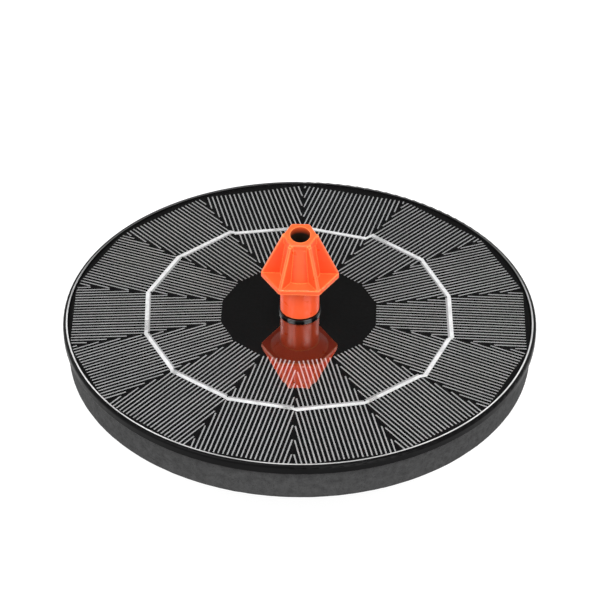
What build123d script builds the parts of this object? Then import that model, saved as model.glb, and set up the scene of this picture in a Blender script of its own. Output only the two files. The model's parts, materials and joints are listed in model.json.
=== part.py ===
"""Floating solar fountain: a round panel on a foam ring, with a submersible pump hung below it.

Millimetres, +Z up.  The origin is on the floor under the middle of the panel, and -Y is the front.
Each separate piece of the product is one node and is written to parts/NODE.step.
"""
import math
import os

from build123d import *

# ---------------------------------------------------------------- driving sizes
# panel stack, from the foam upwards
PANEL_R = 90.5          # outside radius of the tray
LIP_T = 1.9             # thickness of the raised lip round the tray
FOAM_T = 12.5
FOAM_R = 89.1
FOAM_HOLE_R = 48.0
FOAM_Z = 34.0           # underside of the foam above the floor
TRAY_Z = FOAM_Z + FOAM_T
TRAY_FLOOR_T = 1.90
TRAY_H = 3.70           # whole height of the tray, floor to lip crest
BACKING_T = 0.40
CELL_T = 0.20
RIBBON_T = 0.10
COVER_T = 0.60
COVER_R = PANEL_R - LIP_T - 0.2
COVER_HOLE_R = 6.2

# solar cells: the wafers and their ribbons are set by hand, so the ring isn't quite even
CELL_COUNT = 14
CELL_RING_X = -0.3      # middle of the ring of cells, off the tray's axis
CELL_IN_R = 30.3        # inner corners of the cells
CELL_OUT_R = 88.6       # outer corners, before they are nipped off
CELL_TRIM_R = 88.2      # the outer corners are nipped off at this radius
CELL_GAP = 0.6          # clear gap between two neighbouring cells
RIBBON_W = 1.45
# azimuth of each gap in degrees, at its outer end and at its inner end
# cell 1 lies between the last gap and the first
GAP_OUT = (10.8, 35.1, 61.3, 90.2, 118.8, 145.0, 170.5, 195.7, 219.6, 244.9, 270.0, 295.4, 320.9, 345.9)
GAP_IN = (12.0, 37.4, 63.1, 90.2, 117.4, 142.6, 168.1, 193.3, 218.3, 244.2, 270.0, 295.7, 321.3, 345.6)
# distance from the middle of the ring to each ribbon's two ends
RIBBON_ENDS = (
    (59.9, 59.1), (59.2, 59.9), (60.4, 60.0), (56.7, 57.5), (57.2, 59.2), (60.8, 59.8), (60.3, 59.8),
    (60.1, 59.2), (59.6, 58.7), (59.4, 57.9), (58.5, 57.8), (58.5, 59.4), (59.2, 59.2), (60.4, 59.0),
)

# spray nozzle
SLEEVE_R = 7.5
SLEEVE_LIFT = 1.25      # sleeve's bottom above the clear cover
SKIRT_LOW = 16.35       # underside of the skirt above the clear cover
SKIRT_T = 1.85
SKIRT_X = 15.0          # skirt corner on the X axis
SKIRT_CX = 7.55         # the four other corners of the skirt
SKIRT_CY = 12.2
COLUMN_TOP_R = 5.4
COLLAR_R = 6.5          # corners of the six-sided collar round the mouth
COLLAR_H = 3.6
MOUTH_LIFT = 35.4       # middle of the slanted mouth above the clear cover
MOUTH_SLANT = 14.0      # degrees, low at the front
MOUTH_R = 3.75
FIN_T = 1.4
FIN_KNEE_R = 7.3
FIN_KNEE_LIFT = 33.7

# riser
RISER_R = 4.5
RISER_BORE = 3.25
RISER_LIFT = 15.5       # top of the riser above the clear cover

# pump: the rotor axis runs along Y, beside the riser, so the volute's outlet is on the riser's axis
VOLUTE_MAX = 11.85
ROTOR_X = VOLUTE_MAX - RISER_BORE
ROTOR_Z = 22.0
VOLUTE_MIN = 9.2
VOLUTE_BACK = 3.75      # rear wall of the impeller chamber, on Y
COVER_FACE = -4.6       # front wall of the impeller chamber, on Y
BARREL_R = 18.4
BARREL_FRONT = -11.5
CAN_R = 16.5
CAN_BACK = 31.0
WET_R = 6.3             # bore that the rotor turns in
WET_END = 25.0
DRY_IN = 7.2
DRY_OUT = 15.0
DRY_FRONT = 6.25
IMPELLER_R = 8.0
SHAFT_R = 1.0
BUSH_BORE = 1.04        # 0.04 mm running clearance on the shaft
CAGE_R = 20.0
CAGE_T = 1.5
CAGE_FRONT = -20.0
CAGE_BACK = -7.3
FLANGE_Z = 41.0
FLANGE_T = 2.5
SCREW_DX = 18.0
SCREW_Y = (-3.4, 22.5)

COVER_TOP = TRAY_Z + TRAY_H - 0.5
COVER_Z = COVER_TOP - COVER_T
RIBBON_Z = COVER_Z - RIBBON_T
CELL_Z = RIBBON_Z - CELL_T
BACKING_Z = TRAY_Z + TRAY_FLOOR_T
RISER_TOP = COVER_TOP + RISER_LIFT
GLAND_SPOT = (ROTOR_X, 40.0)    # the lead's hole in the tray
SCREW_SPOTS = [(ROTOR_X + sx * SCREW_DX, y) for sx in (-1, 1) for y in SCREW_Y]

os.makedirs("parts", exist_ok=True)


# ---------------------------------------------------------------- helpers
def upright(radius, z_low, z_high, x=0.0, y=0.0):
    """Cylinder along Z between two heights."""
    return Pos(x, y, (z_low + z_high) / 2) * Cylinder(radius, z_high - z_low)


def along_y(radius, y_front, y_back, x=ROTOR_X, z=ROTOR_Z):
    """Cylinder along Y between two stations, on the rotor axis unless told otherwise."""
    middle = Pos(x, (y_front + y_back) / 2, z)
    return middle * Rot(90, 0, 0) * Cylinder(radius, y_back - y_front)


def block(x0, x1, y0, y1, z0, z1):
    """Box between two corners."""
    centre = Pos((x0 + x1) / 2, (y0 + y1) / 2, (z0 + z1) / 2)
    return centre * Box(x1 - x0, y1 - y0, z1 - z0)


def outline_prism(points, z_low, height):
    """Straight-sided prism on a closed outline in plan."""
    face = make_face(Polyline(*points, close=True))
    return Pos(0, 0, z_low) * extrude(face, height)


def revolve_profile(points):
    """Turn a closed (radius, z) outline round the Z axis."""
    wire = Polyline(*[(0, r, z) for r, z in points], close=True)
    return revolve(make_face(wire), Axis.Z)


def edges_at_height(solid, z, tolerance=0.01):
    """Edges whose middle lies at one height."""
    return [e for e in solid.edges() if abs(e.center().Z - z) < tolerance]


def save(node, shape):
    """Write one node, checking that it is sound."""
    shape.label = node
    assert shape.is_valid, node
    assert shape.volume > 0, node
    export_step(shape, f"parts/{node}.step")
    print(f"{node:20s} {len(shape.solids()):2d} solid(s) {shape.volume:10.1f} mm3")


# ---------------------------------------------------------------- tray, foam and panel
def panel_tray():
    """Shallow black tray: floor, rounded lip, riser hole, and four bosses for the pump's screws."""
    floor = upright(PANEL_R, TRAY_Z, TRAY_Z + TRAY_H)
    well = upright(PANEL_R - LIP_T, BACKING_Z, TRAY_Z + TRAY_H + 1)
    tray = floor - well
    crest = edges_at_height(tray, TRAY_Z + TRAY_H)
    crest.sort(key=lambda e: e.length)
    tray = fillet(crest[-1:], 1.15)
    tray = fillet([e for e in edges_at_height(tray, TRAY_Z + TRAY_H) if e.length < crest[-1].length - 8], 0.4)
    foot = [e for e in edges_at_height(tray, TRAY_Z) if e.length > 500]
    tray = fillet(foot, 0.4)
    for x, y in SCREW_SPOTS:
        tray += upright(3.2, FLANGE_Z + FLANGE_T, TRAY_Z + 0.1, x, y)
        tray -= upright(1.25, FLANGE_Z + FLANGE_T - 0.1, TRAY_Z + 0.6, x, y)
    tray -= upright(RISER_R + 0.1, TRAY_Z - 1, TRAY_Z + TRAY_H)
    tray -= upright(3.0, TRAY_Z - 1, TRAY_Z + TRAY_H, *GLAND_SPOT)
    return tray


def float_ring():
    """Closed-cell foam ring that the tray is glued to, with softly rounded lower edges."""
    ring = upright(FOAM_R, FOAM_Z, TRAY_Z)
    ring -= upright(FOAM_HOLE_R, FOAM_Z - 1, TRAY_Z + 1)
    return fillet(edges_at_height(ring, FOAM_Z), 0.9)


def ring_point(radius, azimuth, side=0.0):
    """Point in plan in the ring of cells, moved sideways by side millimetres, anticlockwise positive."""
    angle = math.radians(azimuth) + math.asin(side / radius)
    return (CELL_RING_X + radius * math.cos(angle), radius * math.sin(angle))


def solar_cell(index):
    """One trapezoidal silicon wafer, between two gaps of the ring."""
    half = CELL_GAP / 2
    corners = [
        ring_point(CELL_IN_R, GAP_IN[index - 1], half),
        ring_point(CELL_OUT_R, GAP_OUT[index - 1], half),
        ring_point(CELL_OUT_R, GAP_OUT[index], -half),
        ring_point(CELL_IN_R, GAP_IN[index], -half),
    ]
    wafer = outline_prism(corners, CELL_Z, CELL_T)
    return wafer & upright(CELL_TRIM_R, CELL_Z - 1, CELL_Z + 1)


def bus_ribbon(index):
    """Tinned strip soldered across one cell, from gap to gap."""
    start = ring_point(RIBBON_ENDS[index][0], (GAP_IN[index - 1] + GAP_OUT[index - 1]) / 2, 0.55)
    end = ring_point(RIBBON_ENDS[index][1], (GAP_IN[index] + GAP_OUT[index]) / 2, -0.55)
    run = (end[0] - start[0], end[1] - start[1])
    strip = Box(math.hypot(*run), RIBBON_W, RIBBON_T)
    turn = math.degrees(math.atan2(run[1], run[0]))
    middle = Pos((start[0] + end[0]) / 2, (start[1] + end[1]) / 2, RIBBON_Z + RIBBON_T / 2)
    return middle * Rot(0, 0, turn) * strip


def cover_glass():
    """Clear cover over the cells, with its top edge eased and a hole for the riser."""
    cover = upright(COVER_R, COVER_Z, COVER_TOP)
    cover = chamfer(edges_at_height(cover, COVER_TOP), 0.15)
    return cover - upright(COVER_HOLE_R, COVER_Z - 1, COVER_TOP + 1)


def backing_sheet():
    """Black sheet under the cells."""
    sheet = upright(PANEL_R - LIP_T - 0.1, BACKING_Z, BACKING_Z + BACKING_T)
    return sheet - upright(RISER_R + 0.1, BACKING_Z - 1, BACKING_Z + 1)


def tray_gland():
    """Rubber grommet that closes the lead's hole in the tray."""
    plug = upright(2.95, TRAY_Z - 1.5, BACKING_Z, *GLAND_SPOT)
    collar = upright(4.4, TRAY_Z - 1.5, TRAY_Z, *GLAND_SPOT)
    return fillet(edges_at_height(plug + collar, TRAY_Z - 1.5), 0.5)


# ---------------------------------------------------------------- nozzle and riser
def skirt_corners():
    """Six corners of the skirt, starting on +X and going round."""
    return [
        (SKIRT_X, 0), (SKIRT_CX, SKIRT_CY), (-SKIRT_CX, SKIRT_CY),
        (-SKIRT_X, 0), (-SKIRT_CX, -SKIRT_CY), (SKIRT_CX, -SKIRT_CY),
    ]


def slanted_space(height):
    """Everything above the nozzle's slanted mouth plane, which crosses the axis at this height."""
    return Pos(0, 0, height) * Rot(MOUTH_SLANT, 0, 0) * Pos(0, 0, 10) * Box(40, 40, 20)


def nozzle():
    """Orange spray nozzle: sleeve, six-cornered skirt, tapered column, six fins, collar, slanted mouth."""
    base = COVER_TOP
    sleeve_z = base + SLEEVE_LIFT
    skirt_z = base + SKIRT_LOW
    skirt_top = skirt_z + SKIRT_T
    mouth_z = base + MOUTH_LIFT
    tall = mouth_z + 6

    sleeve = Rot(0, 0, 90) * upright(SLEEVE_R, sleeve_z, skirt_z + 0.5)
    sleeve = fillet(edges_at_height(sleeve, sleeve_z), 0.5)
    under = revolve_profile([
        (0, skirt_z - 2.6), (SLEEVE_R, skirt_z - 2.6), (11.2, skirt_z + 0.01), (0, skirt_z + 0.01),
    ])
    skirt = outline_prism(skirt_corners(), skirt_z, SKIRT_T)
    skirt = fillet(skirt.edges().filter_by(Axis.Z), 1.6)
    skirt = fillet(edges_at_height(skirt, skirt_top), 0.45)
    column = revolve_profile([
        (0, skirt_top - 0.2), (SLEEVE_R, skirt_top - 0.2), (COLUMN_TOP_R, mouth_z - 1.8),
        (COLUMN_TOP_R, tall), (0, tall),
    ])
    # the mouth is cut on a slant, and the collar's outer edge is rounded before the fins join it
    corners = []
    for x, y in skirt_corners():
        share = COLLAR_R / math.hypot(x, y)
        corners.append((x * share, y * share))
    collar = outline_prism(corners, mouth_z - COLLAR_H, COLLAR_H + 5)
    collar = fillet(collar.edges().filter_by(Axis.Z), 1.3)
    collar -= slanted_space(mouth_z)
    rise = math.tan(math.radians(MOUTH_SLANT))
    lip = [e for e in collar.edges() if abs(e.center().Z - mouth_z - rise * e.center().Y) < 0.02]
    collar = fillet(lip, 0.55)
    column -= slanted_space(mouth_z - 0.7)
    body = sleeve + under + skirt + column + collar

    for x, y in skirt_corners():
        reach = math.hypot(x, y) - 0.45
        turn = math.degrees(math.atan2(y, x))
        web = make_face(Polyline(
            (2, 0, skirt_top - 0.3), (reach, 0, skirt_top - 0.3), (reach, 0, skirt_top + 0.2),
            (FIN_KNEE_R, 0, base + FIN_KNEE_LIFT), (COLLAR_R - 0.6, 0, mouth_z + 1.6),
            (2, 0, mouth_z + 1.6), close=True))
        fin = extrude(web, FIN_T / 2, both=True)
        ridge = [
            e for e in fin.edges()
            if e.length > 12 and e.center().X > 4 and e.center().Z > skirt_top + 2
            and abs(abs(e.center().Y) - FIN_T / 2) < 0.01
        ]
        fin = Rot(0, 0, turn) * fillet(ridge, 0.4)
        body += fin - slanted_space(mouth_z - 0.3)

    # socket for the riser, then the spray bore through the top
    body -= upright(RISER_R + 0.05, sleeve_z - 1, RISER_TOP + 0.4)
    body -= upright(3.1, RISER_TOP, mouth_z)
    body -= upright(MOUTH_R, mouth_z - 9.5, tall)
    return body


def riser_pipe():
    """Short pipe from the pump's outlet up through the panel into the nozzle."""
    pipe = upright(RISER_R, 39.5, RISER_TOP)
    pipe = chamfer(edges_at_height(pipe, RISER_TOP), 0.5)
    return pipe - upright(RISER_BORE, 38, RISER_TOP + 1)


def riser_gasket():
    """Glossy rubber ring round the riser, between the clear cover and the nozzle."""
    outline = [(RISER_R + 0.02, COVER_TOP - 0.6), (6.1, COVER_TOP - 0.6), (6.1, COVER_TOP),
               (8.1, COVER_TOP), (8.1, COVER_TOP + 1.1), (RISER_R + 0.02, COVER_TOP + 1.1)]
    ring = revolve_profile(outline)
    crown = [e for e in edges_at_height(ring, COVER_TOP + 1.1) if e.length > 40]
    return fillet(crown, 0.5)


# ---------------------------------------------------------------- pump
def volute_outline():
    """Spiral wall of the impeller chamber, growing towards the outlet side."""
    points = []
    steps = 22
    for i in range(steps + 1):
        angle = math.radians(150 - 330 * i / steps)
        radius = VOLUTE_MIN + (VOLUTE_MAX - VOLUTE_MIN) * i / steps
        points.append((ROTOR_X + radius * math.cos(angle), 0, ROTOR_Z + radius * math.sin(angle)))
    return points


def pump_chamber():
    """Space inside the volute and its outlet, as one solid to cut away."""
    points = volute_outline()
    wall = Spline(*points)
    face = make_face(Curve() + [wall, Line(points[-1], points[0])])
    swirl = extrude(face, VOLUTE_BACK - COVER_FACE, dir=(0, 1, 0))
    swirl = Pos(0, COVER_FACE, 0) * swirl
    swirl += along_y(VOLUTE_MIN, COVER_FACE, VOLUTE_BACK)
    return swirl + upright(RISER_BORE, ROTOR_Z, 46)


def pump_housing():
    """One moulding: volute barrel, motor can, outlet neck, screw flange and base plate."""
    neck_top = 45.5
    body = along_y(BARREL_R, BARREL_FRONT, DRY_FRONT)
    body += along_y(CAN_R, DRY_FRONT - 0.5, CAN_BACK)
    body += block(ROTOR_X - 9, ROTOR_X + 9, -3, 25, 34, FLANGE_Z + 0.5)
    body += block(ROTOR_X - 13, ROTOR_X + 13, -6.5, CAN_BACK, 4, 12)
    base = block(ROTOR_X - 20, ROTOR_X + 20, -6.5, 31.5, 2.0, 4.6)
    body += fillet(base.edges().filter_by(Axis.Z), 4.0)
    flange = block(ROTOR_X - 22, ROTOR_X + 22, -6.9, 27, FLANGE_Z, FLANGE_Z + FLANGE_T)
    body += fillet(flange.edges().filter_by(Axis.Z), 4.0)
    body += upright(6.4, ROTOR_Z, neck_top)

    body -= along_y(16.8, BARREL_FRONT - 1, COVER_FACE)
    groove = along_y(14.25, COVER_FACE - 0.1, COVER_FACE + 1.1)
    body -= groove - along_y(12.95, COVER_FACE - 0.2, COVER_FACE + 1.2)
    body -= pump_chamber()
    body -= upright(RISER_R, 39.5, neck_top + 1)
    body -= along_y(WET_R, VOLUTE_BACK - 0.5, WET_END)
    body -= along_y(DRY_OUT, DRY_FRONT, CAN_BACK + 1) - along_y(DRY_IN, DRY_FRONT - 1, 26.2)
    body -= along_y(SHAFT_R, WET_END - 0.5, WET_END + 0.7)
    for x, y in SCREW_SPOTS:
        body -= upright(1.4, FLANGE_Z - 1, FLANGE_Z + FLANGE_T + 1, x, y)
    return body


def volute_cover():
    """Front cover with the inlet spout and a three-armed spider that holds the shaft."""
    back = COVER_FACE
    cover = along_y(16.75, back - 2.5, back)
    cover += along_y(6.0, -13.6, back - 2)
    cover -= along_y(4.2, -14, back + 1)
    spider = along_y(2.2, back - 2.5, back - 0.2)
    for k in range(3):
        arm = block(-0.6, 0.6, back - 2.5, back - 0.2, 1.6, 4.6)
        spider += Pos(ROTOR_X, 0, ROTOR_Z) * Rot(0, 120 * k, 0) * arm
    cover += spider
    return cover - along_y(SHAFT_R, back - 1.9, back + 1)


def volute_o_ring():
    """Rubber ring in the groove behind the front cover."""
    ring = Torus(13.6, 0.55)
    return Pos(ROTOR_X, COVER_FACE + 0.55, ROTOR_Z) * Rot(90, 0, 0) * ring


def impeller():
    """Open impeller: hub, back disc and six vanes that lean back."""
    hub = along_y(3.4, -3.2, 6.5)
    disc = along_y(IMPELLER_R, 1.8, 3.0)
    wheel = hub + disc
    for k in range(6):
        vane = block(2.6, IMPELLER_R - 0.15, -2.6, 2.0, -0.5, 0.5)
        lean = Pos(3.0, 0, 0) * Rot(0, 28, 0) * Pos(-3.0, 0, 0)
        wheel += Pos(ROTOR_X, 0, ROTOR_Z) * Rot(0, 60 * k, 0) * lean * vane
    wheel = wheel & along_y(IMPELLER_R, -3.4, 6.6)
    return wheel - along_y(1.3, -4, 7)


def rotor_magnet():
    """Ring magnet on the back of the impeller."""
    ring = along_y(5.6, 6.5, 23.0) - along_y(2.2, 6, 24)
    return chamfer([e for e in ring.edges() if e.length > 30], 0.3)


def rotor_bushes():
    """Two identical bearing bushes in the ends of the magnet."""
    pair = []
    for front in (6.6, 19.4):
        pair.append(along_y(2.2, front, front + 3.5) - along_y(BUSH_BORE, front - 1, front + 5))
    return Compound(children=pair)


def rotor_shaft():
    """Fixed ceramic shaft that the rotor turns on."""
    return along_y(SHAFT_R, COVER_FACE - 1.9, WET_END + 0.7)


def stator_core():
    """Laminated ring with six teeth."""
    y0, y1 = 10.0, 21.0
    core = along_y(14.9, y0, y1) - along_y(12.6, y0 - 1, y1 + 1)
    teeth = []
    for k in range(6):
        tooth = block(8.0, 13.2, y0, y1, -1.3, 1.3)
        shoe = block(7.4, 8.3, y0, y1, -2.7, 2.7)
        teeth.append(Pos(ROTOR_X, 0, ROTOR_Z) * Rot(0, 60 * k, 0) * (tooth + shoe))
    for tooth in teeth:
        core += tooth
    return core - along_y(7.35, y0 - 1, y1 + 1)


def stator_coils():
    """Six identical coils, one round each tooth."""
    coils = []
    for k in range(6):
        outer = block(8.5, 12.2, 8.0, 23.0, -2.7, 2.7)
        outer = fillet(outer.edges().filter_by(Axis.X), 1.0)
        coil = outer - block(8.0, 13.0, 9.9, 21.1, -1.35, 1.35)
        coils.append(Pos(ROTOR_X, 0, ROTOR_Z) * Rot(0, 60 * k, 0) * coil)
    return Compound(children=coils)


def driver_board():
    """Round circuit board behind the stator."""
    return along_y(14.5, 26.6, 28.2)


def epoxy_potting():
    """Resin that seals the motor behind the board."""
    return along_y(14.95, 28.2, 30.0)


def motor_end_cap():
    """Cap that closes the motor can, with a hole for the lead's grommet."""
    cap = along_y(CAN_R, CAN_BACK, CAN_BACK + 2.0) + along_y(14.9, 30.0, CAN_BACK + 0.5)
    rim = [e for e in cap.edges() if abs(e.center().Y - (CAN_BACK + 2.0)) < 0.01]
    return fillet(rim, 0.8) - along_y(3.0, 29, 34, z=ROTOR_Z + 7)


def pump_gland():
    """Rubber grommet that closes the lead's hole in the motor cap."""
    z = ROTOR_Z + 7
    back = CAN_BACK + 3.6
    plug = along_y(2.95, 30.0, CAN_BACK + 2.0, z=z) + along_y(4.4, CAN_BACK + 2.0, back, z=z)
    return fillet([e for e in plug.edges() if abs(e.center().Y - back) < 0.01], 0.5)


def strainer_cage():
    """Cap over the pump's inlet, with slots through its front and its side."""
    cage = along_y(CAGE_R, CAGE_FRONT, CAGE_BACK)
    cage = fillet([e for e in cage.edges() if abs(e.center().Y - CAGE_FRONT) < 0.01], 1.2)
    cage -= along_y(BARREL_R + 0.06, CAGE_FRONT + CAGE_T, CAGE_BACK + 1)
    for k in range(-4, 5):
        half = math.sqrt(16.0 ** 2 - (3.4 * k) ** 2)
        x, y0, y1 = 3.4 * k, CAGE_FRONT - 1, CAGE_FRONT + CAGE_T + 1
        slot = block(x - 0.8, x + 0.8, y0, y1, -half, half)
        bar = block(x - 0.9, x + 0.9, y0 - 1, y1 + 1, -1.0, 1.0)
        cage -= Pos(ROTOR_X, 0, ROTOR_Z) * (slot - bar)
    for k in range(24):
        gap = block(CAGE_R - 3, CAGE_R + 2, CAGE_FRONT + 2.6, CAGE_FRONT + 6.6, -0.8, 0.8)
        cage -= Pos(ROTOR_X, 0, ROTOR_Z) * Rot(0, 15 * k, 0) * gap
    return cage


def filter_sponge():
    """Coarse foam disc inside the strainer."""
    return along_y(18.2, CAGE_FRONT + CAGE_T, -13.7)


def rubber_feet():
    """Four identical feet under the pump's base plate."""
    feet = []
    for sx in (-1, 1):
        for y in (-1.8, 26.8):
            foot = upright(4.0, 0.0, 2.0, ROTOR_X + sx * 15.5, y)
            feet.append(fillet(edges_at_height(foot, 0.0), 0.5))
    return Compound(children=feet)


def pump_screws():
    """Four identical screws from the pump's flange up into the tray's bosses."""
    screws = []
    for x, y in SCREW_SPOTS:
        screw = upright(2.6, FLANGE_Z - 1.6, FLANGE_Z, x, y)
        screw = fillet(edges_at_height(screw, FLANGE_Z - 1.6), 0.5)
        screw += upright(1.23, FLANGE_Z - 0.2, TRAY_Z + 0.3, x, y)
        slot = block(x - 1.6, x + 1.6, y - 0.3, y + 0.3, FLANGE_Z - 2, FLANGE_Z - 0.9)
        cross = block(x - 0.3, x + 0.3, y - 1.6, y + 1.6, FLANGE_Z - 2, FLANGE_Z - 0.9)
        screws.append(screw - slot - cross)
    return Compound(children=screws)


# ---------------------------------------------------------------- write every node
NODES = {
    "panel_tray": panel_tray, "backing_sheet": backing_sheet, "cover_glass": cover_glass,
    "float_ring": float_ring, "tray_gland": tray_gland, "nozzle": nozzle,
    "riser_pipe": riser_pipe, "riser_gasket": riser_gasket, "pump_housing": pump_housing,
    "volute_cover": volute_cover, "volute_o_ring": volute_o_ring, "impeller": impeller,
    "rotor_magnet": rotor_magnet, "rotor_bushes": rotor_bushes, "rotor_shaft": rotor_shaft,
    "stator_core": stator_core, "stator_coils": stator_coils, "driver_board": driver_board,
    "epoxy_potting": epoxy_potting, "motor_end_cap": motor_end_cap, "pump_gland": pump_gland,
    "strainer_cage": strainer_cage, "filter_sponge": filter_sponge, "rubber_feet": rubber_feet,
    "pump_screws": pump_screws,
}

for name, maker in NODES.items():
    save(name, maker())
for number in range(CELL_COUNT):
    save(f"solar_cell_{number + 1:02d}", solar_cell(number))
    save(f"bus_ribbon_{number + 1:02d}", bus_ribbon(number))
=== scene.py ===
import json
import math
import random

import bmesh
import bpy
from mathutils import Matrix, Vector, noise


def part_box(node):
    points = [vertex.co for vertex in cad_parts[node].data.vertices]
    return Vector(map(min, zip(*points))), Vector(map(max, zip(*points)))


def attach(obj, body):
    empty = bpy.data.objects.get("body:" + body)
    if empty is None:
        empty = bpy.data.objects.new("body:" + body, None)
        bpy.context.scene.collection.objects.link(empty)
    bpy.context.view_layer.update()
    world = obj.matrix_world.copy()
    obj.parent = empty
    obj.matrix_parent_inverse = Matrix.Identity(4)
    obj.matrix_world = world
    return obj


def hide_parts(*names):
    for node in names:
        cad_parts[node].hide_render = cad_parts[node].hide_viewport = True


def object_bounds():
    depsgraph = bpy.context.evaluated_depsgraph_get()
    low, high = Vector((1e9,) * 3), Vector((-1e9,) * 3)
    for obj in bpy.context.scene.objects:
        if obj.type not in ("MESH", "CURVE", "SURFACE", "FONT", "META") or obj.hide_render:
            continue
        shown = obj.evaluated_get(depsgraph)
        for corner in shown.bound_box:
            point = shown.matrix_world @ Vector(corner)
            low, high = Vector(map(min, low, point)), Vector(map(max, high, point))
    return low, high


# Floating solar fountain: the CAD frame with procedural materials, the printed grid on each solar
# cell, the solder joints between the ribbons, the foam ring and the filter foam.  Metres, +Z up.

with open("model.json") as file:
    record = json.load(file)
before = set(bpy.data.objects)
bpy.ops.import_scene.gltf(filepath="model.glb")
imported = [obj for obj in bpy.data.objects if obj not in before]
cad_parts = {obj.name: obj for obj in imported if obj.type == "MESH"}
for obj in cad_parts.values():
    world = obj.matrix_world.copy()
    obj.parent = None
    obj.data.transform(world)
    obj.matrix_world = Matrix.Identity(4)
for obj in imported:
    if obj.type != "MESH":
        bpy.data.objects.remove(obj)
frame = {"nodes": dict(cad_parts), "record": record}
cad_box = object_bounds()
nodes = frame["nodes"]

MM = 0.001
CELLS = 14

# camera
CAMERA_DISTANCE = 0.720
CAMERA_ELEVATION = 36.975       # degrees above the horizon
CAMERA_AZIMUTH = 1.24
CAMERA_ROLL = 0.389
CAMERA_LENS = 112.5
CAMERA_SHIFT = (0.0004, 0.0169)
PANEL_LEVEL = 0.2 * MM          # what the camera looks at, above the clear cover

# printed grid on the cells
FINGER_W = 0.53 * MM
FINGER_T = 0.03 * MM
FINGER_BEVEL = 0.10 * MM
FINGER_EDGE = 0.12 * MM         # bare border round the grid
SHORTEST_FINGER = 1.2 * MM
FRONT_PITCH = 1.675 * MM
BUSBAR_W = 1.9 * MM
BUSBAR_T = 0.035 * MM
BUSBAR_BEVEL = 0.05 * MM

# solder joints between the ribbons
JOINT_W = 1.25 * MM
JOINT_LAP = 0.9 * MM            # how far a joint runs onto each ribbon
JOINT_STEPS = 12

# foam ring
FOAM_AROUND = 420
FOAM_STEP = 0.8 * MM
FOAM_FOOT_R = 1.1 * MM          # rounding of the lower edges
FOAM_HEAD_R = 0.12 * MM         # rounding of the glued upper edges

# filter foam
FILTER_AROUND = 96
FILTER_RINGS = 18
FILTER_EDGE_R = 0.35 * MM
FILTER_DIP = 0.14 * MM          # depth of its uneven skin

# first number of the random draws
SEED = 14


# ---------------------------------------------------------------- node helpers
def add(tree, kind, links=None, **settings):
    """New shader node: settings are its properties, links are its inputs as values or sockets."""
    node = tree.nodes.new(kind)
    for name, value in settings.items():
        setattr(node, name, value)
    for name, value in (links or {}).items():
        if isinstance(value, bpy.types.NodeSocket):
            tree.links.new(value, node.inputs[name])
        else:
            node.inputs[name].default_value = value
    return node


def place(tree):
    return add(tree, "ShaderNodeTexCoord").outputs["Object"]


def coordinates(tree):
    """Outputs X, Y and Z of the point on the object, in metres."""
    return add(tree, "ShaderNodeSeparateXYZ", {"Vector": place(tree)}).outputs


def grain(tree, scale, detail=3.0, roughness=0.55):
    """Soft noise, scale in features per metre."""
    links = {"Vector": place(tree), "Scale": scale, "Detail": detail, "Roughness": roughness}
    return add(tree, "ShaderNodeTexNoise", links).outputs["Fac"]


def pores(tree, scale, feature="F1"):
    """Round cells, scale in cells per metre."""
    links = {"Vector": place(tree), "Scale": scale}
    return add(tree, "ShaderNodeTexVoronoi", links, feature=feature).outputs["Distance"]


def remap(tree, value, low, high, to_low, to_high):
    links = {"Value": value, "From Min": low, "From Max": high, "To Min": to_low, "To Max": to_high}
    return add(tree, "ShaderNodeMapRange", links).outputs["Result"]


def mottle(tree, scale, low, high, detail=3.0):
    """Soft noise spread over the range from low to high."""
    return remap(tree, grain(tree, scale, detail), 0.3, 0.7, low, high)


def clouds(tree, scale, detail):
    """Soft noise from 0 to 1 with more contrast, for two tones of one colour."""
    return remap(tree, grain(tree, scale, detail), 0.35, 0.65, 0.0, 1.0)


def both(tree, first, second):
    """Mask where two masks overlap."""
    return add(tree, "ShaderNodeMath", {0: first, 1: second}, operation="MULTIPLY").outputs[0]


def blend_colours(tree, factor, first, second):
    """Colour that runs from first to second; each is a tuple of three or a socket."""
    node = add(tree, "ShaderNodeMix", data_type="RGBA")
    tree.links.new(factor, node.inputs[0])
    for socket, colour in ((node.inputs[6], first), (node.inputs[7], second)):
        if isinstance(colour, bpy.types.NodeSocket):
            tree.links.new(colour, socket)
        else:
            socket.default_value = (*colour, 1.0)
    return node.outputs[2]


def worn_and_highlit_edges(tree, width):
    """1 on sharp outer edges, 0 on the faces between them."""
    rounded = add(tree, "ShaderNodeBevel", {"Radius": width}, samples=4).outputs["Normal"]
    flat = add(tree, "ShaderNodeNewGeometry").outputs["Normal"]
    links = {0: rounded, 1: flat}
    along = add(tree, "ShaderNodeVectorMath", links, operation="DOT_PRODUCT").outputs["Value"]
    return remap(tree, along, 0.998, 0.90, 0.0, 1.0)


def bump(tree, height, depth, strength=1.0, normal=None):
    links = {"Height": height, "Distance": depth, "Strength": strength}
    if normal is not None:
        links["Normal"] = normal
    return add(tree, "ShaderNodeBump", links).outputs["Normal"]


def start(name, **uniform):
    """New material and its shader; uniform values go straight onto the shader's sockets."""
    material = bpy.data.materials.new(name)
    material.use_nodes = True
    tree = material.node_tree
    shader = tree.nodes["Principled BSDF"]
    for socket, value in uniform.items():
        shader.inputs[socket.replace("_", " ")].default_value = value
    return material, tree, shader


def finish_shader(tree, shader, colour, roughness, normal):
    tree.links.new(colour, shader.inputs["Base Color"])
    tree.links.new(roughness, shader.inputs["Roughness"])
    tree.links.new(normal, shader.inputs["Normal"])


# ---------------------------------------------------------------- materials
def two_tone(tree, dark, light, edge, wear):
    """Colour of a plastic moulding: two tones in soft clouds and paler edges, part wear and part
    painted highlight.
    """
    body = blend_colours(tree, clouds(tree, 90, 4.0), dark, light)
    return blend_colours(tree, worn_and_highlit_edges(tree, wear), body, edge)


def finish_moulding(tree, shader, colour, rough, depth):
    """Surface of a plastic moulding: patchy gloss and the mould's fine spark-eroded grain."""
    grit = bump(tree, grain(tree, 2600, 2.0), depth)
    finish_shader(tree, shader, colour, mottle(tree, 260, *rough, detail=5.0), grit)


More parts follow.
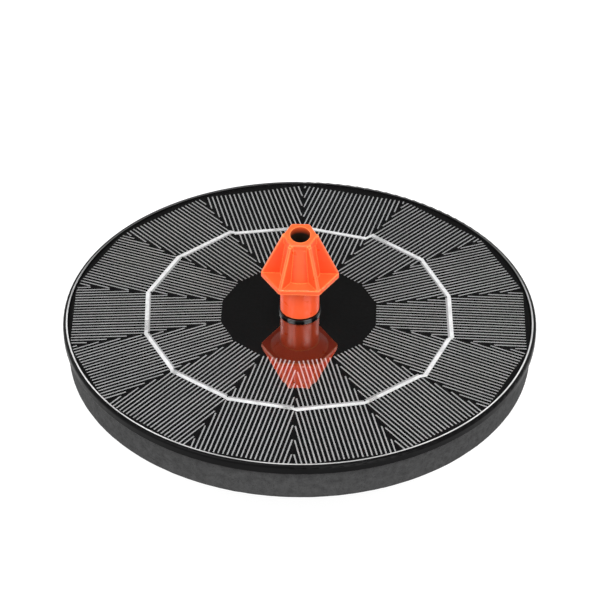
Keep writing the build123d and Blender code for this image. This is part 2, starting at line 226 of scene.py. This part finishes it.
def moulded(name, dark, light, edge, sheen, rough, depth):
    """Injection-moulded plastic without marks of its own."""
    material, tree, shader = start(name, Specular_IOR_Level=sheen)
    finish_moulding(tree, shader, two_tone(tree, dark, light, edge, 0.25 * MM), rough, depth)
    return material


def radius_and_height(tree):
    """Distance from the spray axis and height, both in metres."""
    split = coordinates(tree)
    flat = add(tree, "ShaderNodeCombineXYZ", {"X": split["X"], "Y": split["Y"]})
    length = add(tree, "ShaderNodeVectorMath", {0: flat.outputs[0]}, operation="LENGTH")
    return length.outputs["Value"], split["Z"]


def orange_plastic():
    """Orange moulding with paler edges, part wear and part painted highlight; painted shade darkens
    its spray bore below the mouth.
    """
    material, tree, shader = start("orange_plastic", Specular_IOR_Level=0.45)
    dark, light, edge = (0.92, 0.090, 0.020), (0.98, 0.108, 0.025), (1.0, 0.30, 0.085)
    edged = two_tone(tree, dark, light, edge, 0.7 * MM)
    radius, height = radius_and_height(tree)
    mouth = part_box("nozzle")[1].z
    # painted shade inside the spray bore, deepening downwards from the mouth
    in_bore = remap(tree, radius, 3.80 * MM, 3.95 * MM, 1.0, 0.0)
    depth = remap(tree, height, mouth - 3.2 * MM, mouth + 0.2 * MM, 1.0, 0.0)
    colour = blend_colours(tree, both(tree, in_bore, depth), edged, (0.018, 0.012, 0.008))
    finish_moulding(tree, shader, colour, (0.26, 0.38), 0.006 * MM)
    return material


def tray_plastic():
    """Glossy black tray; a thin pale line of painted highlight runs along its lip's inner crest,
    strongest at the front.
    """
    material, tree, shader = start("tray_plastic", Specular_IOR_Level=0.07)
    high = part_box("panel_tray")[1]
    dark, light, edge = (0.0016, 0.0016, 0.0018), (0.0030, 0.0030, 0.0032), (0.008, 0.008, 0.0085)
    edged = two_tone(tree, dark, light, edge, 0.3 * MM)
    radius, height = radius_and_height(tree)
    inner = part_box("cover_glass")[1].x + 0.2 * MM
    # painted highlight: a pale line on the lip's inner crest, in patches, fading towards the back
    past = remap(tree, radius, inner + 0.10 * MM, inner + 0.22 * MM, 0.0, 1.0)
    within = remap(tree, radius, inner + 0.62 * MM, inner + 0.80 * MM, 1.0, 0.0)
    crest = remap(tree, height, high.z - 0.30 * MM, high.z - 0.16 * MM, 0.0, 1.0)
    patchy = remap(tree, grain(tree, 45, 3.0), 0.3, 0.65, 0.5, 1.0)
    front = remap(tree, coordinates(tree)["Y"], -0.2 * high.y, 0.5 * high.y, 1.0, 0.12)
    painted_highlight = both(tree, both(tree, past, within), both(tree, crest, both(tree, patchy, front)))
    colour = blend_colours(tree, painted_highlight, edged, (0.60, 0.60, 0.60))
    finish_moulding(tree, shader, colour, (0.30, 0.42), 0.003 * MM)
    return material


def silicon():
    """Dark blue-black wafer with a very fine etched surface."""
    material, tree, shader = start("silicon", Specular_IOR_Level=0.03)
    flecks = remap(tree, pores(tree, 900), 0.1, 0.8, 0.0, 1.0)
    base = blend_colours(tree, grain(tree, 60), (0.0003, 0.0003, 0.0005), (0.0009, 0.0009, 0.0014))
    colour = blend_colours(tree, flecks, base, (0.0008, 0.0008, 0.0013))
    roughness = mottle(tree, 400, 0.3, 0.5, detail=4.0)
    finish_shader(tree, shader, colour, roughness, bump(tree, grain(tree, 6000), 0.002 * MM))
    return material


def silver_paste():
    """Printed silver: pale grey, slightly uneven and grainy."""
    material, tree, shader = start("silver_paste", Metallic=0.15, Specular_IOR_Level=0.4)
    patches = mottle(tree, 130, 0.0, 1.0)
    base = blend_colours(tree, patches, (0.39, 0.39, 0.395), (0.48, 0.48, 0.485))
    specks = remap(tree, grain(tree, 2600, 2.0), 0.55, 0.75, 0.0, 0.5)
    colour = blend_colours(tree, specks, base, (0.29, 0.29, 0.295))
    roughness = mottle(tree, 900, 0.42, 0.6)
    finish_shader(tree, shader, colour, roughness, bump(tree, grain(tree, 4000), 0.006 * MM))
    return material


def tinned_copper():
    """Solder-dipped ribbon: bright, with soft runs along it."""
    material, tree, shader = start("tinned_copper", Specular_IOR_Level=0.8)
    runs = mottle(tree, 240, 0.0, 1.0, detail=4.0)
    base = blend_colours(tree, runs, (0.78, 0.785, 0.79), (0.97, 0.975, 0.98))
    dull = remap(tree, grain(tree, 90, 2.0), 0.58, 0.70, 0.0, 0.6)
    colour = blend_colours(tree, dull, base, (0.60, 0.60, 0.61))
    roughness = mottle(tree, 500, 0.22, 0.42)
    finish_shader(tree, shader, colour, roughness, bump(tree, grain(tree, 420), 0.05 * MM))
    return material


def backing():
    """Black laminate sheet with a pebbled surface and a little dust."""
    material, tree, shader = start("backing", Specular_IOR_Level=0.05)
    base = blend_colours(tree, grain(tree, 110), (0.0007, 0.0007, 0.0007), (0.0016, 0.0016, 0.0016))
    dust = remap(tree, grain(tree, 1800, 2.0), 0.66, 0.80, 0.0, 0.5)
    colour = blend_colours(tree, dust, base, (0.0060, 0.0060, 0.0060))
    roughness = mottle(tree, 700, 0.45, 0.65)
    finish_shader(tree, shader, colour, roughness, bump(tree, pores(tree, 1400), 0.02 * MM))
    return material


def clear_cover():
    """Clear glossy cover: lets the cells through and mirrors what stands on it."""
    material = bpy.data.materials.new("clear_cover")
    material.use_nodes = True
    tree = material.node_tree
    tree.nodes.remove(tree.nodes["Principled BSDF"])
    out = tree.nodes["Material Output"]
    flow = bump(tree, grain(tree, 40, 1.0), 0.004 * MM, 0.3)
    mirror = add(tree, "ShaderNodeFresnel", {"IOR": 3.4, "Normal": flow}).outputs["Fac"]
    # only the flat top is polished; the cut edge and the underside don't mirror
    facing = add(tree, "ShaderNodeNewGeometry")
    front = remap(tree, facing.outputs["Backfacing"], 0.0, 1.0, 1.0, 0.0)
    upward = add(tree, "ShaderNodeSeparateXYZ", {"Vector": facing.outputs["Normal"]}).outputs["Z"]
    flat = remap(tree, upward, 0.97, 0.99, 0.0, 1.0)
    share = both(tree, mirror, both(tree, front, flat))
    haze = mottle(tree, 300, 0.004, 0.02, detail=4.0)
    through = add(tree, "ShaderNodeBsdfTransparent", {"Color": (0.985, 0.985, 0.985, 1.0)})
    links = {"Color": (1.0, 1.0, 1.0, 1.0), "Roughness": haze, "Normal": flow}
    gloss = add(tree, "ShaderNodeBsdfGlossy", links)
    mixed = add(tree, "ShaderNodeMixShader", {0: share})
    tree.links.new(through.outputs[0], mixed.inputs[1])
    tree.links.new(gloss.outputs[0], mixed.inputs[2])
    tree.links.new(mixed.outputs[0], out.inputs["Surface"])
    return material


def foam():
    """Closed-cell foam with a cut skin: mottled grey with small open pores."""
    material, tree, shader = start("grey_foam", Specular_IOR_Level=0.12)
    patches = remap(tree, grain(tree, 420, 4.0, 0.65), 0.32, 0.68, 0.0, 1.0)
    base = blend_colours(tree, patches, (0.037, 0.037, 0.0375), (0.060, 0.060, 0.0605))
    # painted shade: the open pores are coloured darker than the foam round them
    holes = remap(tree, pores(tree, 1500), 0.05, 0.28, 1.0, 0.0)
    colour = blend_colours(tree, holes, base, (0.018, 0.018, 0.018))
    roughness = mottle(tree, 800, 0.8, 0.95)
    walls = bump(tree, pores(tree, 1500), 0.12 * MM, 0.6)
    lumps = bump(tree, grain(tree, 380, 4.0), 0.25 * MM, 0.5, walls)
    finish_shader(tree, shader, colour, roughness, lumps)
    return material


def sponge():
    """Coarse open filter foam; painted shade makes it nearly black between its strands."""
    material, tree, shader = start("black_sponge", Specular_IOR_Level=0.1)
    strands = remap(tree, pores(tree, 900, "DISTANCE_TO_EDGE"), 0.02, 0.22, 1.0, 0.0)
    colour = blend_colours(tree, strands, (0.004, 0.004, 0.004), (0.040, 0.040, 0.042))
    roughness = mottle(tree, 900, 0.8, 0.95)
    finish_shader(tree, shader, colour, roughness, bump(tree, strands, 0.5 * MM, 0.8))
    return material


def rubber():
    """Black rubber: smooth and shiny, with a bloom in patches."""
    material, tree, shader = start("black_rubber", Specular_IOR_Level=0.5)
    bloom = remap(tree, grain(tree, 300, 4.0), 0.45, 0.75, 0.0, 1.0)
    colour = blend_colours(tree, bloom, (0.003, 0.003, 0.003), (0.008, 0.008, 0.008))
    roughness = mottle(tree, 700, 0.05, 0.12)
    finish_shader(tree, shader, colour, roughness, bump(tree, grain(tree, 2500), 0.003 * MM))
    return material


def metal(name, dark, light, scale, rough, stretch):
    """Bare metal with marks drawn out along one axis by stretch."""
    material, tree, shader = start(name, Metallic=0.9)
    pulled = add(tree, "ShaderNodeMapping", {"Vector": place(tree), "Scale": stretch})
    links = {"Vector": pulled.outputs["Vector"], "Scale": scale, "Detail": 4.0}
    marks = add(tree, "ShaderNodeTexNoise", links).outputs["Fac"]
    colour = blend_colours(tree, remap(tree, marks, 0.3, 0.7, 0.0, 1.0), dark, light)
    roughness = remap(tree, marks, 0.3, 0.7, *rough)
    finish_shader(tree, shader, colour, roughness, bump(tree, marks, 0.02 * MM))
    return material


def layered(name, dark, light, pitch, axis, metallic, rough):
    """Thin layers stacked along one axis: steel laminations or turns of wire."""
    material, tree, shader = start(name, Metallic=metallic)
    links = {"Vector": place(tree), "Scale": math.tau / (20 * pitch), "Distortion": 0.6}
    links |= {"Detail": 2.0, "Detail Scale": 3.0}
    bands = add(tree, "ShaderNodeTexWave", links, wave_type="BANDS", bands_direction=axis)
    lines = bands.outputs["Fac"]
    colour = blend_colours(tree, lines, dark, light)
    finish_shader(tree, shader, colour, mottle(tree, 900, *rough), bump(tree, lines, 0.08 * MM))
    return material


def circuit_board():
    """Green solder mask over copper tracks."""
    material, tree, shader = start("circuit_board", Specular_IOR_Level=0.5)
    links = {"Vector": place(tree), "Scale": 420.0}
    tracks = add(tree, "ShaderNodeTexVoronoi", links,
                 feature="DISTANCE_TO_EDGE", distance="MANHATTAN")
    lines = remap(tree, tracks.outputs["Distance"], 0.04, 0.09, 1.0, 0.0)
    weave = grain(tree, 1200, 2.0)
    base = blend_colours(tree, weave, (0.006, 0.075, 0.030), (0.010, 0.105, 0.042))
    colour = blend_colours(tree, lines, base, (0.030, 0.200, 0.060))
    finish_shader(tree, shader, colour, mottle(tree, 800, 0.25, 0.4), bump(tree, lines, 0.03 * MM))
    return material


def plain_solid(name, dark, light, scale, rough, sheen=0.5):
    """Cast or pressed solid, such as ferrite, resin or ceramic."""
    material, tree, shader = start(name, Specular_IOR_Level=sheen)
    colour = blend_colours(tree, clouds(tree, scale, 5.0), dark, light)
    roughness = mottle(tree, scale * 2, *rough)
    finish_shader(tree, shader, colour, roughness, bump(tree, grain(tree, scale * 6), 0.01 * MM))
    return material


def grey(value):
    return (value, value, value)


SILVER = silver_paste()
SOLDER = tinned_copper()
FOAM = foam()
SPONGE = sponge()
MATERIALS = {
    "silicon_cell": silicon(),
    "tinned_ribbon": SOLDER,
    "black_plastic": moulded(
        "black_plastic", (0.0045, 0.0045, 0.0048), (0.0075, 0.0075, 0.0080), (0.020, 0.020, 0.021),
        sheen=0.25, rough=(0.14, 0.26), depth=0.004 * MM),
    "backing": backing(),
    "clear_cover": clear_cover(),
    "grey_foam": FOAM,
    "black_rubber": rubber(),
    "orange_plastic": orange_plastic(),
    "white_plastic": moulded(
        "white_plastic", (0.70, 0.70, 0.68), (0.80, 0.80, 0.78), (0.90, 0.90, 0.88),
        sheen=0.4, rough=(0.35, 0.5), depth=0.012 * MM),
    "magnet": plain_solid(
        "magnet", (0.030, 0.030, 0.033), (0.065, 0.064, 0.066), 500, (0.5, 0.75), sheen=0.4),
    "carbon_bush": plain_solid("carbon_bush", grey(0.010), grey(0.030), 900, (0.3, 0.5)),
    "ceramic": plain_solid("ceramic", (0.80, 0.80, 0.78), (0.88, 0.88, 0.86), 300, (0.1, 0.2)),
    "laminated_steel": layered(
        "laminated_steel", (0.12, 0.12, 0.13), (0.42, 0.42, 0.44), 0.5 * MM, "Y", 0.9, (0.3, 0.5)),
    "copper_winding": layered(
        "copper_winding", (0.20, 0.060, 0.020), (0.72, 0.27, 0.10), 0.45 * MM, "Z", 0.8,
        (0.2, 0.35)),
    "circuit_board": circuit_board(),
    "black_resin": plain_solid("black_resin", grey(0.004), grey(0.010), 200, (0.08, 0.2)),
    "black_sponge": SPONGE,
    "steel_screw": metal(
        "steel_screw", (0.35, 0.35, 0.36), (0.62, 0.62, 0.64), 600, (0.2, 0.4), (1, 1, 0.2)),
}
# nodes whose look differs from the rest of their slot
OWN = {"panel_tray": tray_plastic()}


def dress_cad_nodes():
    """Every CAD node takes its own material, or that of its slot."""
    for part in frame["record"]["subparts"]:
        slots = nodes[part["node"]].data.materials
        slots.clear()
        slots.append(OWN.get(part["node"]) or MATERIALS[part["material_slot"]])


# ---------------------------------------------------------------- mesh helpers
def link_object(name, data):
    made = bpy.data.objects.new(name, data)
    bpy.context.scene.collection.objects.link(made)
    return made


def mesh_from(shape, name, material):
    """Turns a finished bmesh into a mesh with one material."""
    mesh = bpy.data.meshes.new(name)
    shape.to_mesh(mesh)
    shape.free()
    mesh.materials.append(material)
    return mesh


def piece(name, shape, material, body, smooth=False):
    """Links a finished bmesh as one piece that rides on a body."""
    bmesh.ops.recalc_face_normals(shape, faces=shape.faces)
    mesh = mesh_from(shape, name, material)
    if smooth:
        mesh.shade_smooth()
    made = link_object(name, mesh)
    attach(made, body)
    return made


def middle_of(points):
    return sum(points, Vector((0, 0))) / len(points)


def around(items):
    """Each item of a closed loop with the one after it."""
    return list(zip(items, items[1:] + items[:1]))


def close_band(shape, lower, upper):
    """Walls between two loops of the same length."""
    for (a, b), (c, d) in zip(around(lower), around(upper)):
        shape.faces.new((a, b, d, c))


def prism(shape, outline, low, high, inset):
    """Closed slab on a convex outline in plan; its top is drawn in by inset."""
    middle = middle_of(outline)
    bottom = [shape.verts.new((p.x, p.y, low)) for p in outline]
    top = []
    for p in outline:
        inward = (middle - p).normalized() * inset
        top.append(shape.verts.new((p.x + inward.x, p.y + inward.y, high)))
    shape.faces.new(bottom[::-1])
    shape.faces.new(top)
    close_band(shape, bottom, top)


def clip(outline, normal, limit):
    """Part of a convex outline where normal . p <= limit."""
    kept = []
    for here, there in around(outline):
        a, b = normal.dot(here) - limit, normal.dot(there) - limit
        if a <= 0:
            kept.append(here)
        if a * b < 0:
            kept.append(here + (there - here) * (a / (a - b)))
    return kept


def crossing(outline, axis, value):
    """The two points where the line axis . p = value crosses a convex outline."""
    found = []
    for here, there in around(outline):
        a, b = axis.dot(here) - value, axis.dot(there) - value
        if a * b < 0:
            found.append(here + (there - here) * (a / (a - b)))
    return found[:2]


# ---------------------------------------------------------------- cells
def outline_in_plan(name):
    """Convex outline of a flat CAD node, anticlockwise."""
    points = sorted({(round(v.co.x, 7), round(v.co.y, 7)) for v in nodes[name].data.vertices})

    def half(run):
        chain = []
        for p in run:
            while len(chain) > 1:
                (ax, ay), (bx, by) = chain[-2:]
                if (bx - ax) * (p[1] - ay) - (by - ay) * (p[0] - ax) > 1e-12:
                    break
                chain.pop()
            chain.append(p)
        return chain[:-1]

    return [Vector(p) for p in half(points) + half(points[::-1])]


def longest_first(runs):
    return sorted(runs, key=lambda run: -(run[1] - run[0]).length)


def cell_sides(outline):
    """The two straight sides of a wafer, from its outline: the right one, then the left one.

    Each runs outwards, and right and left are as seen from the panel's middle.
    """
    middle = middle_of(outline)
    runs = longest_first(around(outline))
    outward = middle.normalized()
    sides = [r for r in runs if abs((r[1] - r[0]).normalized().dot(outward)) > 0.8][:2]
    lines = [s if (s[1] - s[0]).dot(outward) > 0 else (s[1], s[0]) for s in sides]
    turn = Vector((-outward.y, outward.x))
    lines.sort(key=lambda s: (s[0] - middle).dot(turn))
    return lines


def finger_pitch(azimuth):
    """Spacing of the fingers: the wafers behind the nozzle come from a coarser print."""
    behind = math.sin(azimuth)
    return FRONT_PITCH * (1.0 + 0.095 * max(0.0, behind) ** 2 + 0.012 * max(0.0, behind))


def bare_border(outline):
    """The outline drawn in all round by the border that the grid keeps off."""
    field = outline
    for a, b in around(outline):
        edge = (b - a).normalized()
        normal = Vector((edge.y, -edge.x))
        field = clip(field, normal, normal.dot(a) - FINGER_EDGE)
    return field


def print_fingers(shape, outline, top, chance):
    """Parallel fingers that run outwards over one wafer, each as long as the wafer lets it be."""
    right, left = cell_sides(outline)
    inner = (right[0] + left[0]) / 2
    outer = (right[1] + left[1]) / 2
    out = (outer - inner).normalized()
    across = Vector((-out.y, out.x))
    field = bare_border(outline)
    middle = middle_of(outline)
    pitch = finger_pitch(math.atan2(middle.y, middle.x))
    reach = max(abs(across.dot(p - inner)) for p in field)
    shift = pitch * (0.5 + chance.uniform(-0.12, 0.12))
    for k in range(-int(reach / pitch) - 2, int(reach / pitch) + 2):
        at = k * pitch + shift
        low_side = across.dot(inner) + at - FINGER_W / 2
        high_side = low_side + FINGER_W
        edges = [p for side in (low_side, high_side) for p in crossing(field, across, side)]
        if len(edges) < 4:
            continue
        starts = [out.dot(p - inner) for p in edges]
        near = (min(starts[0], starts[1]) + min(starts[2], starts[3])) / 2
        far = (max(starts[0], starts[1]) + max(starts[2], starts[3])) / 2
        if far - near < SHORTEST_FINGER:
            continue
        base = inner + across * at
        width = FINGER_W / 2 * chance.uniform(0.94, 1.06)
        corners = [
            base + out * near - across * width, base + out * far - across * width,
            base + out * far + across * width, base + out * near + across * width,
        ]
        prism(shape, corners[::-1], top, top + FINGER_T, FINGER_BEVEL)


def print_busbar(shape, strip, top, chance):
    """Busbar on the wafer, a little nearer the panel's middle than the ribbon soldered on it."""
    heart = middle_of(strip)
    start_point, end_point = longest_first(around(strip))[0]
    run = (end_point - start_point).normalized()
    side = Vector((-run.y, run.x))
    if side.dot(heart) > 0:
        side = -side
    heart += side * chance.uniform(0.1, 0.75) * MM
    half = (end_point - start_point).length / 2
    corners = [
        heart + run * half + side * BUSBAR_W / 2, heart - run * half + side * BUSBAR_W / 2,
        heart - run * half - side * BUSBAR_W / 2, heart + run * half - side * BUSBAR_W / 2,
    ]
    prism(shape, corners, top, top + BUSBAR_T, BUSBAR_BEVEL)


def printed_grid(index, chance):
    """Silver fingers across one wafer, and the busbar they meet in, under the ribbon."""
    name = f"solar_cell_{index:02d}"
    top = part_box(name)[1].z
    shape = bmesh.new()
    print_fingers(shape, outline_in_plan(name), top, chance)
    print_busbar(shape, outline_in_plan(f"bus_ribbon_{index:02d}"), top, chance)
    piece(f"printed_grid_{index:02d}", shape, SILVER, "float_body")


def ribbon_ends(index):
    """Clockwise and anticlockwise end of a ribbon, in plan."""
    strip = outline_in_plan(f"bus_ribbon_{index:02d}")
    heart = middle_of(strip)
    turn = Vector((-heart.y, heart.x)).normalized()
    strip.sort(key=lambda p: p.dot(turn))
    return (strip[0] + strip[1]) / 2, (strip[-1] + strip[-2]) / 2


def solder_bead(shape, here, there, floor, crest, chance):
    """Bead of solder from one point to another, widest in its middle."""
    run = (there - here).normalized()
    here, there = here - run * JOINT_LAP, there + run * JOINT_LAP
    side = Vector((-run.y, run.x))
    bead = []
    for k in range(JOINT_STEPS + 1):
        share = k / JOINT_STEPS
        swell = 0.55 + 0.5 * math.sin(math.pi * share)
        width = JOINT_W / 2 * swell * chance.uniform(0.92, 1.1)
        bead.append((here.lerp(there, share), width))
    left = [p + side * w for p, w in bead]
    right = [p - side * w for p, w in bead]
    loop = right + left[::-1]
    lower = [shape.verts.new((p.x, p.y, floor)) for p in loop]
    upper = [shape.verts.new((p.x, p.y, crest)) for p in loop]
    for face in (lower, upper):
        for k in range(JOINT_STEPS):
            shape.faces.new((face[k], face[k + 1], face[-k - 2], face[-k - 1]))
    close_band(shape, lower, upper)


def solder_joints(chance):
    """Short soldered links that carry each ribbon over the gap to the next."""
    low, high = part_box("bus_ribbon_01")
    floor, crest = low.z + 0.01 * MM, high.z - 0.005 * MM
    shape = bmesh.new()
    for i in range(1, CELLS + 1):
        here = ribbon_ends(i)[1]
        there = ribbon_ends(i % CELLS + 1)[0]
        solder_bead(shape, here, there, floor, crest, chance)
    piece("solder_joints", shape, SOLDER, "float_body")


# ---------------------------------------------------------------- foam
def rounded_profile(inner, outer, low, high, bottom, top, step):
    """Closed profile (radius, height) of a ring with rounded lower and upper edges."""
    points = []

    def line(a, b):
        count = max(1, round((Vector(b) - Vector(a)).length / step))
        for k in range(count):
            points.append(Vector(a).lerp(Vector(b), k / count))

    def arc(centre, radius, first, turn=90, count=5):
        for k in range(count):
            angle = math.radians(first + turn * k / count)
            x, y = centre[0] + radius * math.cos(angle), centre[1] + radius * math.sin(angle)
            points.append(Vector((x, y)))

    line((outer, low + bottom), (outer, high - top))
    arc((outer - top, high - top), top, 0)
    line((outer - top, high), (inner + top, high))
    arc((inner + top, high - top), top, 90)
    line((inner, high - top), (inner, low + bottom))
    arc((inner + bottom, low + bottom), bottom, 180)
    line((inner + bottom, low), (outer - bottom, low))
    arc((outer - bottom, low + bottom), bottom, 270)
    return points


def unit_noise(spot):
    """Smooth noise from 0 to 1."""
    return noise.noise(spot) * 0.5 + 0.5


def foam_ring():
    """Cut foam ring: straight walls, slightly wavy, with a soft lower edge."""
    low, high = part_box("float_ring")
    outer = high.x
    inner = min(math.hypot(v.co.x, v.co.y) for v in nodes["float_ring"].data.vertices)
    profile = rounded_profile(inner, outer, low.z, high.z, FOAM_FOOT_R, FOAM_HEAD_R, FOAM_STEP)
    middle = Vector(((inner + outer) / 2, (low.z + high.z) / 2))
    shape = bmesh.new()
    rings = []
    for i in range(FOAM_AROUND):
        angle = math.tau * i / FOAM_AROUND
        ring = []
        for p in profile:
            spot = Vector((p.x * math.cos(angle), p.x * math.sin(angle), p.y))
            sink = (0.16 * unit_noise(spot * 260) + 0.10 * unit_noise(spot * 900)) * MM
            # the glued top face stays flat against the tray
            inward = (middle - p).normalized() * sink
            if p.y > high.z - 0.2 * MM:
                inward.y = 0.0
            r, z = p.x + inward.x, p.y + inward.y
            ring.append(shape.verts.new((r * math.cos(angle), r * math.sin(angle), z)))
        rings.append(ring)
    for ring, after in around(rings):
        for (a, b), (c, d) in zip(around(ring), around(after)):
            shape.faces.new((a, c, d, b))
    ring = piece("foam_ring", shape, FOAM, "float_body", smooth=True)
    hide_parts("float_ring")


def filter_disc():
    """Coarse foam disc in the strainer: round, with a porous, uneven face."""
    low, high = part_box("filter_sponge")
    centre = (low + high) / 2
    radius, half = (high.x - low.x) / 2 - 0.1 * MM, (high.y - low.y) / 2 - 0.05 * MM
    soft = FILTER_EDGE_R
    front = []
    for turn in (0, 30, 60, 90):
        angle = math.radians(turn)
        front.append((radius - soft * (1 - math.cos(angle)), half - soft + soft * math.sin(angle)))
    for k in range(1, FILTER_RINGS):
        front.append(((radius - soft) * (1 - k / FILTER_RINGS), half))
    profile = [(r, -y) for r, y in reversed(front)] + front
    shape = bmesh.new()
    rings = []
    for r, y in profile:
        ring = []
        for i in range(FILTER_AROUND):
            angle = math.tau * i / FILTER_AROUND
            across, up = math.cos(angle), math.sin(angle)
            sink = unit_noise(Vector((r * across, y, r * up)) * 800) * FILTER_DIP
            depth = math.copysign(max(0.0, abs(y) - sink), y)
            wide = r - sink
            ring.append(shape.verts.new(centre + Vector((wide * across, depth, wide * up))))
        rings.append(ring)
    for ring, after in zip(rings, rings[1:]):
        close_band(shape, ring, after)
    for ring, y in ((rings[0], -half), (rings[-1], half)):
        hub = shape.verts.new(centre + Vector((0, y * 0.97, 0)))
        for a, b in around(ring):
            shape.faces.new((a, b, hub))
    disc = piece("filter_foam", shape, SPONGE, "strainer", smooth=True)
    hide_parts("filter_sponge")


# ---------------------------------------------------------------- studio
def floor_material():
    """Pale floor that also glows a little, so it stays even to its edge."""
    material, tree, shader = start("studio_floor", Specular_IOR_Level=0.0, Emission_Strength=0.92)
    shader.inputs["Emission Color"].default_value = (1.0, 1.0, 1.0, 1.0)
    shader.inputs["Roughness"].default_value = 0.9
    tone = blend_colours(tree, grain(tree, 3, 2.0), (0.20, 0.20, 0.20), (0.22, 0.22, 0.22))
    tree.links.new(tone, shader.inputs["Base Color"])
    return material


def studio_floor():
    shape = bmesh.new()
    bmesh.ops.create_circle(shape, cap_ends=True, segments=96, radius=6.0)
    made = link_object("studio_floor", mesh_from(shape, "studio_floor", floor_material()))


def softbox(name, azimuth, elevation, distance, width, height, radiance):
    """Rectangular light that faces the object; azimuth is measured from the front towards +X."""
    light = bpy.data.lights.new(name, "AREA")
    light.shape = "RECTANGLE"
    light.size, light.size_y = width, height
    light.energy = radiance * math.pi * width * height
    made = link_object(name, light)
    a, e = math.radians(azimuth), math.radians(elevation)
    away = Vector((math.sin(a) * math.cos(e), -math.cos(a) * math.cos(e), math.sin(e)))
    made.location = Vector((0, 0, cad_box[1].z / 2)) + away * distance
    made.rotation_mode = "QUATERNION"
    made.rotation_quaternion = away.to_track_quat("Z", "Y")


def studio_world():
    """Pale low horizon under a dark ceiling, so the glossy cover stays dark."""
    world = bpy.data.worlds.new("studio")
    bpy.context.scene.world = world
    world.use_nodes = True
    tree = world.node_tree
    sky = tree.nodes["Background"]
    way = add(tree, "ShaderNodeTexCoord").outputs["Generated"]
    height = add(tree, "ShaderNodeSeparateXYZ", {"Vector": way}).outputs["Z"]
    rise = remap(tree, height, 0.10, 0.24, 0.0, 1.0)
    tone = blend_colours(tree, rise, (1.0, 1.0, 1.0), (0.022, 0.022, 0.022))
    tree.links.new(tone, sky.inputs["Color"])


def camera():
    """Camera in front of the panel and above it, tilted a little to one side."""
    data = bpy.data.cameras.new("camera")
    made = link_object("camera", data)
    data.sensor_width = 36.0
    data.lens = CAMERA_LENS
    data.shift_x, data.shift_y = CAMERA_SHIFT
    data.clip_start, data.clip_end = 0.01, 20.0
    a, e, roll = (math.radians(v) for v in (CAMERA_AZIMUTH, CAMERA_ELEVATION, CAMERA_ROLL))
    back = Vector((math.cos(e) * math.sin(a), -math.cos(e) * math.cos(a), math.sin(e)))
    level = Vector((math.cos(a), math.sin(a), 0.0))
    rise = back.cross(level)
    right = level * math.cos(roll) + rise * math.sin(roll)
    up = rise * math.cos(roll) - level * math.sin(roll)
    target = Vector((0.0, 0.0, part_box("cover_glass")[1].z + PANEL_LEVEL))
    turn = Matrix((right, up, back)).transposed().to_4x4()
    made.matrix_world = Matrix.Translation(target + back * CAMERA_DISTANCE) @ turn
    bpy.context.scene.camera = made


# ---------------------------------------------------------------- build
dress_cad_nodes()
dice = random.Random(SEED)
for cell in range(1, CELLS + 1):
    printed_grid(cell, dice)
solder_joints(dice)
foam_ring()
filter_disc()

bpy.context.scene.view_settings.view_transform = "Standard"
studio_floor()
studio_world()
front_box = {"elevation": 42, "distance": 1.3, "width": 0.75, "height": 0.80, "radiance": 7.0}
back_box = {"elevation": 34, "distance": 1.4, "width": 0.60, "height": 0.60, "radiance": 3.2}
top_box = {"elevation": 88, "distance": 1.2, "width": 0.26, "height": 0.26, "radiance": 32.0}
softbox("softbox_left", azimuth=-48, **front_box)
softbox("softbox_right", azimuth=48, **front_box)
softbox("softbox_top", azimuth=0, **top_box)
softbox("softbox_back_left", azimuth=-128, **back_box)
softbox("softbox_back_right", azimuth=128, **back_box)
camera()
